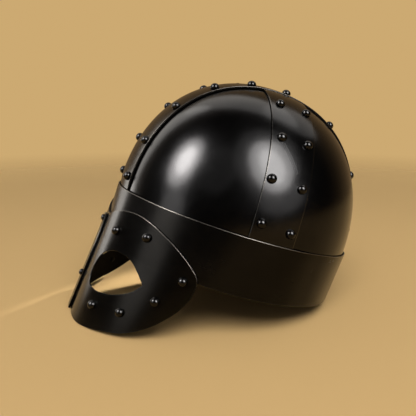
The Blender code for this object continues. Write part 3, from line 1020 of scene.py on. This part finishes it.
def rivet_tree():
    """A domed cap on every point, turned to the point's direction."""
    tree, write, size = start_tree("rivet heads", RIVET_INPUTS)
    ball = write.node(
        "GeometryNodeMeshUVSphere", None,
        {"Segments": HEAD_SIDES, "Rings": HEAD_RINGS, "Radius": 1.0})
    x, y, z = write.split(write.node("GeometryNodeInputPosition"))
    swell = (1.0 - (z.math("MAXIMUM", 0.0) ** size["Squareness"])).math("MAXIMUM", 0.0) ** 0.5
    plan = (x * x + y * y).math("SQRT").math("MAXIMUM", LEAST_PLAN)
    radius = size["Diameter"] * 0.5 * swell / plan
    dome = z > PLUG_START
    wide = dome * radius + (1.0 - dome) * size["Diameter"] * 0.5 * PLUG_SHARE
    shaped = write.node("ShaderNodeCombineXYZ", None, [
        x * wide, y * wide,
        z.math("MAXIMUM", 0.0) * size["Rise"] + z.math("MINIMUM", 0.0) * size["Seat"]])
    head = write.node("GeometryNodeSetPosition", None, {"Geometry": ball, "Position": shaped})
    out = write.node(
        "GeometryNodeInputNamedAttribute", {"data_type": "FLOAT_VECTOR"}, ["out"])
    upright = write.node(
        "FunctionNodeAlignRotationToVector", {"axis": "Z"}, {"Vector": out})
    tilt = write.node(
        "FunctionNodeRandomValue", {"data_type": "FLOAT_VECTOR"},
        {0: (-UNEVEN_TILT, -UNEVEN_TILT, 0.0), 1: (UNEVEN_TILT, UNEVEN_TILT, 2.0 * math.pi),
         "Seed": size["Seed"]})
    lean = write.node("FunctionNodeEulerToRotation", None, [tilt])
    turned = write.node(
        "FunctionNodeRotateRotation", {"rotation_space": "LOCAL"},
        {"Rotation": upright, "Rotate By": lean})
    uneven = write.node(
        "FunctionNodeRandomValue", {"data_type": "FLOAT_VECTOR"},
        {0: (1.0 - UNEVEN_SIZE,) * 3, 1: (1.0 + UNEVEN_SIZE,) * 3, "Seed": size["Seed"] + 7.0})
    placed = write.node(
        "GeometryNodeInstanceOnPoints", None,
        {"Points": size["Geometry"], "Instance": head, "Rotation": turned, "Scale": uneven})
    return end_tree(tree, write, placed)


RIVET_TREE = rivet_tree()


def point_cloud(name, places, ways):
    """A mesh of loose points that carry a direction."""
    mesh = bpy.data.meshes.new(name)
    mesh.from_pydata([tuple(place) for place in places], [], [])
    layer = mesh.attributes.new("out", "FLOAT_VECTOR", "POINT")
    layer.data.foreach_set("vector", [value for way in ways for value in way])
    return mesh


def make_rivets(name, rivets, diameter, rise, seed):
    """Heads outside and flattened ends inside, as one piece."""
    build = bmesh.new()
    counts = []
    for part, places, sense, wide, high, squareness in (
            ("_heads", [seat for seat, _, _ in rivets], 1, 1.0, rise, HEAD_SQUARENESS),
            ("_tails", [end for _, _, end in rivets], -1, TAIL_SHARE, TAIL_RISE, TAIL_SQUARENESS)):
        ways = [sense * out for _, out, _ in rivets]
        sunk = [place + way * RIVET_SEAT / 2 for place, way in zip(places, ways)]
        mesh = run_tree(
            name + part, RIVET_TREE,
            {"Diameter": diameter * wide, "Rise": high, "Seat": RIVET_SEAT / 2,
             "Squareness": squareness, "Seed": seed + len(counts)},
            point_cloud(name, sunk, ways))
        build.from_mesh(mesh)
        bpy.data.meshes.remove(mesh)
        counts.append(len(build.verts))
    # The flattened ends inside take the value 1, so the shader paints them near black as shade.
    inner = build.verts.layers.float.new("inner")
    for index, vert in enumerate(build.verts):
        vert[inner] = 0.0 if index < counts[0] else 1.0
    bmesh.ops.recalc_face_normals(build, faces=build.faces)
    return mesh_object(name, build)


heads = {name: make_rivets(name, *facts) for name, facts in rivet_pieces.items()}
print("faces:", {name: len(piece.data.polygons) for name, piece in heads.items()})

# %% [markdown]
# ## Blackened iron
#
# The metal is iron blackened in oil and polished. It is a mirror in a dark coat: nearly
# black face on, bright where the light grazes it. Principled gives that with Metallic at 1 and a
# very dark Base Color, because a metal's colour is what it reflects. What makes it look forged
# is what varies: cloudy patches in the roughness, the fine lines that the polishing left, a skin of
# tiny pits, and edges where the black has worn to bare iron, with a painted highlight added on the
# edges that catch the light. Nobody polishes the inside, so there the same shader turns duller, and
# its near black colour there is painted shade.

# %% Where a pattern lies on the helmet
POLISH_REACH = 0.11
POLISH_FINE = 900.0
POLISH_LONG = 26.0
# scale, detail, roughness
POLISH_NOISE = (1.0, 3.0, 0.6)
CLOUD = (22.0, 4.0, 0.6)
PATCH = (130.0, 5.0, 0.65)
PIT = (1100.0, 2.0, 0.5)


def upright_place(write):
    """Object coordinates turned back to the upright drawing."""
    where = write.node("ShaderNodeTexCoord", output=3)
    return write.node("ShaderNodeMapping", None, {
        "Vector": where, "Rotation": UPRIGHT.to_euler("XYZ"), "Location": UPRIGHT.translation})


def polish_lines(write, place, run):
    """Fine lines left by polishing: down the dome, or round the hoop."""
    x, y, z = write.split(place)
    turn = x.math("ARCTAN2", y) * POLISH_REACH
    stretch = (POLISH_FINE, POLISH_LONG) if run == "down" else (POLISH_LONG, POLISH_FINE)
    line = write.node("ShaderNodeCombineXYZ", None, [turn * stretch[0], z * stretch[1], 0.0])
    return write.noise(line, *POLISH_NOISE, dimensions="2D")


# %% The iron material
# Bright bare iron on worn edges, which also serves as a painted highlight along lit edges.
WORN_IRON_AND_HIGHLIGHT = (0.42, 0.39, 0.36, 1.0)
INNER_PAINTED_SHADE = (0.004, 0.004, 0.004, 1.0)
CLOUD_TONES = (0.9, 1.12)
CLOUD_EDGES = (0.35, 0.65)
PATCHY_WEAR = 0.9
CLOUD_ROUGH, PATCH_ROUGH, WORN_ROUGH, POLISH_ROUGH = 0.06, 0.05, 0.10, 0.05
INNER_ROUGH, SCRATCH_ROUGH, LEAST_ROUGH = 0.62, 0.2, 0.08
PIT_HEIGHT, PATCH_HEIGHT, POLISH_HEIGHT, SCRATCH_DEPTH = 0.3, 0.35, 0.55, 0.5
BUMP_STRENGTH = 0.10
BUMP_DISTANCE = 0.0002


def start_material(name):
    """A new material, its tree, the hand that writes it and its shader."""
    material = bpy.data.materials.new(name)
    material.use_nodes = True
    tree = material.node_tree
    return material, tree, Tree(tree), tree.nodes["Principled BSDF"]


def iron(name, tone, roughness, wear_and_highlight_level=0.5, run="down", lines=1.0, marks=None):
    """Blackened iron; tone is its reflectance face on, and marks adds a scratch."""
    material, tree, write, shader = start_material(name)
    place = upright_place(write)
    cloud, patch, pit = (write.noise(place, *facts) for facts in (CLOUD, PATCH, PIT))
    polish = polish_lines(write, place, run)
    rim, inner = (
        write.node("ShaderNodeAttribute", {"attribute_name": key}, output=2)
        for key in ("rim", "inner"))
    # Bare iron on the rims: wear, and a painted highlight where the rims were set to catch the
    # light.
    wear_and_highlight = (rim * (wear_and_highlight_level + (patch - 0.5) * PATCHY_WEAR * wear_and_highlight_level)).clamp()
    low, high = ((*[value * share for value in tone], 1.0) for share in CLOUD_TONES)
    colour = write.mix(cloud.ramp(*CLOUD_EDGES), low, high)
    # Inside the helmet the colour is near black: painted shade.
    colour = write.mix(inner, write.mix(wear_and_highlight, colour, WORN_IRON_AND_HIGHLIGHT), INNER_PAINTED_SHADE)
    rough = roughness + (cloud - 0.5) * CLOUD_ROUGH + (patch - 0.5) * PATCH_ROUGH
    rough = rough + wear_and_highlight * WORN_ROUGH + (polish - 0.5) * POLISH_ROUGH * lines
    rough = rough + inner * INNER_ROUGH
    height = pit * PIT_HEIGHT + patch * PATCH_HEIGHT + polish * POLISH_HEIGHT * lines
    if marks:
        scratch = marks(write, place)
        rough = rough + scratch * SCRATCH_ROUGH
        height = height - scratch * SCRATCH_DEPTH
    bump = write.node("ShaderNodeBump", None, {
        "Strength": BUMP_STRENGTH, "Distance": BUMP_DISTANCE, "Height": height})
    tree.links.new(colour.socket, shader.inputs["Base Color"])
    tree.links.new(rough.math("MAXIMUM", LEAST_ROUGH).socket, shader.inputs["Roughness"])
    tree.links.new(bump.socket, shader.inputs["Normal"])
    shader.inputs["Metallic"].default_value = 1.0
    return material


# %% [markdown]
# The left side band carries a fine double scratch. It runs across a curved sheet, so the distance
# to it is taken only sideways, from the plane through its two ends that leads out of the band.

# %% A double scratch on the left side band
SCRATCH_LINES = (
    # from and to: aside of the band's middle line in metres, down the band as a share
    ((-0.0153, 0.490), (0.0056, 0.680)),
    ((-0.0140, 0.483), (0.0067, 0.673)),
)
SCRATCH_WIDTH = 0.0004


def band_place(aside, down):
    """A point on the left side band's outer face, in the upright drawing."""
    start = lateral_start(aside)
    return lateral_point(aside, start + (0.5 * math.pi - start) * down, BAND_LIFT + SHEET, 1)


def scratches(write, place):
    """1 along the scratch lines and 0 beside them."""
    total = None
    for first, last in SCRATCH_LINES:
        begin, end = band_place(*first), band_place(*last)
        along = end - begin
        middle = band_place(0.5 * (first[0] + last[0]), 0.5 * (first[1] + last[1]))
        outward = middle - 0.5 * (begin + end)
        across = along.cross(outward).normalized()
        step = write.node("ShaderNodeVectorMath", {"operation": "SUBTRACT"}, [place, begin])
        share = write.measure("DOT_PRODUCT", step, along / along.length_squared)
        aside = write.measure("DOT_PRODUCT", step, across)
        beyond = (share - share.clamp()).math("ABSOLUTE") * along.length
        line = 1.0 - (aside.math("ABSOLUTE") + beyond).ramp(0.0, SCRATCH_WIDTH)
        total = line if total is None else total.math("MAXIMUM", line)
    return total


BLACK = (0.022, 0.022, 0.023)
WARM_BLACK = (0.021, 0.020, 0.019)
# The brow band, mask and strip take a darker tone than the skull: painted shade on the lower
# plates.
SHADED_PLATE_BLACK = (0.013, 0.0125, 0.012)
finishes = {
    "skull": iron("skull black iron", BLACK, 0.19, wear_and_highlight_level=0.5),
    "crest": iron("crest black iron", WARM_BLACK, 0.22, wear_and_highlight_level=0.08),
    "lateral left": iron("left band black iron", BLACK, 0.18, wear_and_highlight_level=0.16, marks=scratches),
    "lateral right": iron("right band black iron", BLACK, 0.18, wear_and_highlight_level=0.16),
    "brow": iron("brow black iron", SHADED_PLATE_BLACK, 0.26, wear_and_highlight_level=0.28, run="round", lines=0.35),
    "mask": iron("mask black iron", SHADED_PLATE_BLACK, 0.23, wear_and_highlight_level=0.22, run="round", lines=0.6),
    "strip": iron("strip black iron", SHADED_PLATE_BLACK, 0.26, wear_and_highlight_level=0.22, run="round", lines=0.6),
    "rivet": iron("rivet black iron", BLACK, 0.14, wear_and_highlight_level=0.0, lines=0.2),
}
print("finishes:", ", ".join(finishes))

# %% [markdown]
# ## Putting the pieces on the frame
#
# Every piece takes its finish, hides the solids that it dresses and rides on the root body.

# %% Dressing the frame
def dress(piece, finish, slot, *nodes):
    """Give a piece its finish, hide the solids that it dresses and hang it on the root body."""
    piece.data.materials.clear()
    piece.data.materials.append(finishes[finish])
    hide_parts(*nodes)
    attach(piece, "root")


nodes = sorted(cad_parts)


def named(start):
    """The frame's nodes whose names start this way."""
    return [node for node in nodes if node.startswith(start)]


plates = (
    # piece, finish, slot, node
    (skull, "skull", "skull", "skull"),
    (crest, "crest", "crest_band", "crest_band"),
    (lateral_left, "lateral left", "lateral_bands", "lateral_band_left"),
    (lateral_right, "lateral right", "lateral_bands", "lateral_band_right"),
    (brow, "brow", "brow_band", "brow_band"),
    (mask, "mask", "spectacle_mask", "spectacle_mask"),
    (strip, "strip", "nose_strip", "nose_strip"),
)
for facts in plates:
    dress(*facts)
for name, piece in heads.items():
    dress(piece, "rivet", "rivets", *named(name.replace("heads", "rivet")))
print("dressed", len(nodes), "nodes with", len(plates) + len(heads), "pieces")

# %% [markdown]
# ## Floor, light and camera
#
# Polished black metal shows hardly any colour of its own. What the eye reads is the studio
# mirrored in it, so the lamps are placed by the reflections: for a highlight at some place on
# the dome, the lamp stands where a ray from the camera goes after it bounces there. Azimuth 0 is
# in front of the helmet and 90 on the wearer's left. These lamps show in reflections alone, and
# one more lamp lights the floor alone, so highlights and shadow are set apart from each other.

# %% Floor
FLOOR_COLOUR = (0.62, 0.405, 0.175, 1.0)
BACKDROP_COLOUR = (0.605, 0.40, 0.168, 1.0)
FLOOR_ROUGHNESS = 0.9
FLOOR_SIDES = 96
FLOOR_RADIUS = 1.9
FADE_START = 0.55
FADE_END = FLOOR_RADIUS * 0.95


def make_floor():
    """A pale disc under the helmet, which fades into the backdrop at its edge."""
    build = bmesh.new()
    bmesh.ops.create_circle(build, cap_ends=True, segments=FLOOR_SIDES, radius=FLOOR_RADIUS)
    floor = mesh_object("floor", build)
    material, tree, write, shader = start_material("pale floor")
    shader.inputs["Base Color"].default_value = FLOOR_COLOUR
    shader.inputs["Roughness"].default_value = FLOOR_ROUGHNESS
    shader.inputs["Specular IOR Level"].default_value = 0.0
    far = write.measure("LENGTH", write.node("ShaderNodeTexCoord", output=3))
    clear = tree.nodes.new("ShaderNodeBsdfTransparent")
    blend = tree.nodes.new("ShaderNodeMixShader")
    tree.links.new(far.ramp(FADE_START, FADE_END).socket, blend.inputs[0])
    tree.links.new(shader.outputs[0], blend.inputs[1])
    tree.links.new(clear.outputs[0], blend.inputs[2])
    tree.links.new(blend.outputs[0], tree.nodes["Material Output"].inputs["Surface"])
    floor.data.materials.append(material)


make_floor()
print("the floor fades out from", FADE_START, "to", FADE_END, "m")

# %% Soft boxes
AIM = STAND.translation + Vector((0.0, -0.0264, 0.00909))
LAMP_DISTANCE = 3.0
LAMP_COLOUR = (1.0, 0.97, 0.915)
MIRROR_LAMPS = (
    # name, azimuth, elevation, width, height, roll, radiance
    ("front box core", 15.0, 39.5, 16.0, 22.0, 0.0, 28.0),
    ("front box", 14.5, 39.0, 28.0, 36.0, 0.0, 12.0),
    ("front glow", 17.0, 24.0, 26.0, 30.0, 0.0, 1.0),
    ("front reflector", 19.0, 9.0, 26.0, 20.0, 0.0, 2.0),
    ("left reflector", -46.0, 3.0, 28.0, 13.0, 0.0, 2.3),
    ("side box core", 114.0, 35.5, 19.0, 30.0, 12.0, 12.5),
    ("side box", 114.0, 36.0, 36.0, 43.0, 12.0, 11.5),
    ("side glow", 112.0, 42.0, 56.0, 54.0, 0.0, 0.6),
    ("side reflector", 118.0, 10.0, 40.0, 20.0, 0.0, 1.4),
    ("far panel", -120.0, 66.0, 72.0, 26.0, 0.0, 1.8),
    ("far left strip", -49.5, 33.0, 18.0, 68.0, 13.0, 2.9),
    ("rear fill", -168.0, 50.0, 30.0, 36.0, 0.0, 1.2),
    ("between fill", 58.0, 38.0, 34.0, 36.0, 0.0, 0.35),
)
FLOOR_KEY = ("floor key", 84.0, 50.0, 60.0, 34.0, 0.0, 6.1)
WHITE = (1.0, 1.0, 1.0)


def way_to(azimuth, elevation):
    """The direction at an azimuth and an elevation, in degrees."""
    a, e = math.radians(azimuth), math.radians(elevation)
    return Vector((math.sin(a) * math.cos(e), -math.cos(a) * math.cos(e), math.sin(e)))


def hang(name, data, place, way, roll=0.0):
    """A lamp or camera at a place, which looks back along way and is rolled in degrees."""
    holder = add_object(name, data)
    holder.location = place
    holder.rotation_mode = "QUATERNION"
    turn = Matrix.Rotation(math.radians(roll), 4, way).to_quaternion()
    holder.rotation_quaternion = turn @ way.to_track_quat("Z", "Y")
    return holder


def softbox(facts, mirrored):
    """An oval area lamp that looks at the helmet; its sizes are angles in degrees."""
    name, azimuth, elevation, width, height, roll, radiance = facts
    lamp = bpy.data.lights.new(name, "AREA")
    lamp.shape = "ELLIPSE"
    lamp.size = 2.0 * LAMP_DISTANCE * math.tan(math.radians(width / 2))
    lamp.size_y = 2.0 * LAMP_DISTANCE * math.tan(math.radians(height / 2))
    lamp.energy = radiance * lamp.size * lamp.size_y * math.pi ** 2 / 4
    lamp.color = LAMP_COLOUR if mirrored else WHITE
    way = way_to(azimuth, elevation)
    holder = hang(name, lamp, AIM + way * LAMP_DISTANCE, way, roll)
    holder.visible_camera = False
    holder.visible_glossy = mirrored
    holder.visible_diffuse = not mirrored


for lamp_facts in MIRROR_LAMPS:
    softbox(lamp_facts, True)
softbox(FLOOR_KEY, False)
print("lamps:", len(MIRROR_LAMPS), "in reflections and one for the floor")

# %% [markdown]
# ### The floor behind the eye hole
#
# The floor that shows through the near eye hole lies in the helmet's own shade. A narrow beam from
# the far side and behind reaches it under the raised brow.

# %% The beam
BEAM_SPOT = Vector((-0.047, -0.086, 0.0))
BEAM_AZIMUTH = -142.0
BEAM_ELEVATION = 18.5
BEAM_DISTANCE = 0.8
BEAM_RADIUS = 0.02
BEAM_CONE = 5.7
BEAM_BLEND = 0.4
BEAM_POWER = 92.0

lamp = bpy.data.lights.new("floor beam", "SPOT")
lamp.shadow_soft_size = BEAM_RADIUS
lamp.spot_size = math.radians(BEAM_CONE)
lamp.spot_blend = BEAM_BLEND
lamp.energy = BEAM_POWER
beam_way = way_to(BEAM_AZIMUTH, BEAM_ELEVATION)
beam = hang("floor beam", lamp, BEAM_SPOT + beam_way * BEAM_DISTANCE, beam_way)
beam.visible_camera = False
beam.visible_glossy = False
print("beam from", tuple(round(value, 3) for value in beam.location))

# %% [markdown]
# The world is three things at once. The camera sees the paper's colour, reflections see a room that
# is dark on one side and warm on the other, and the floor gets a weak even light.

# %% The world
DARK_SIDE = (0.035, 0.030, 0.026, 1.0)
FAR_SIDE = (0.24, 0.15, 0.07, 1.0)
DARK_SIDE_AZIMUTH = 76.0
SIDE_BLEND = 0.7
FLOOR_SKY = (0.27, 0.27, 0.27, 1.0)


def make_world():
    """A backdrop for the camera, a room for the reflections and a sky for the floor."""
    world = bpy.data.worlds.new("studio")
    world.use_nodes = True
    tree = world.node_tree
    write = Tree(tree)
    back = tree.nodes["Background"]
    way = write.node("ShaderNodeTexCoord", output=0)
    side = write.measure("DOT_PRODUCT", way, way_to(DARK_SIDE_AZIMUTH, 0.0))
    around = write.mix((-1.0 * side).ramp(0.0, SIDE_BLEND), DARK_SIDE, FAR_SIDE)
    seen, spread = (write.node("ShaderNodeLightPath", output=place) for place in (0, 2))
    colour = write.mix(seen, write.mix(spread, around, FLOOR_SKY), BACKDROP_COLOUR)
    tree.links.new(colour.socket, back.inputs["Color"])
    bpy.context.scene.world = world


make_world()
print("the camera sees a backdrop of", BACKDROP_COLOUR[:3])

# %% The camera
EYE = STAND.translation + Vector((0.4742, -0.1409, 0.1095))
FOCAL_PIXELS = 486.63
IMAGE_PIXELS = 416
SENSOR = 36.0

lens = bpy.data.cameras.new("camera")
lens.sensor_width = SENSOR
lens.lens = FOCAL_PIXELS / IMAGE_PIXELS * SENSOR
lens.clip_start = 0.01
lens.clip_end = 50.0
bpy.context.scene.camera = hang("camera", lens, EYE, EYE - AIM)
bpy.context.scene.view_settings.view_transform = "Standard"
print("the camera stands", round((EYE - AIM).length, 3), "m from the helmet's middle")
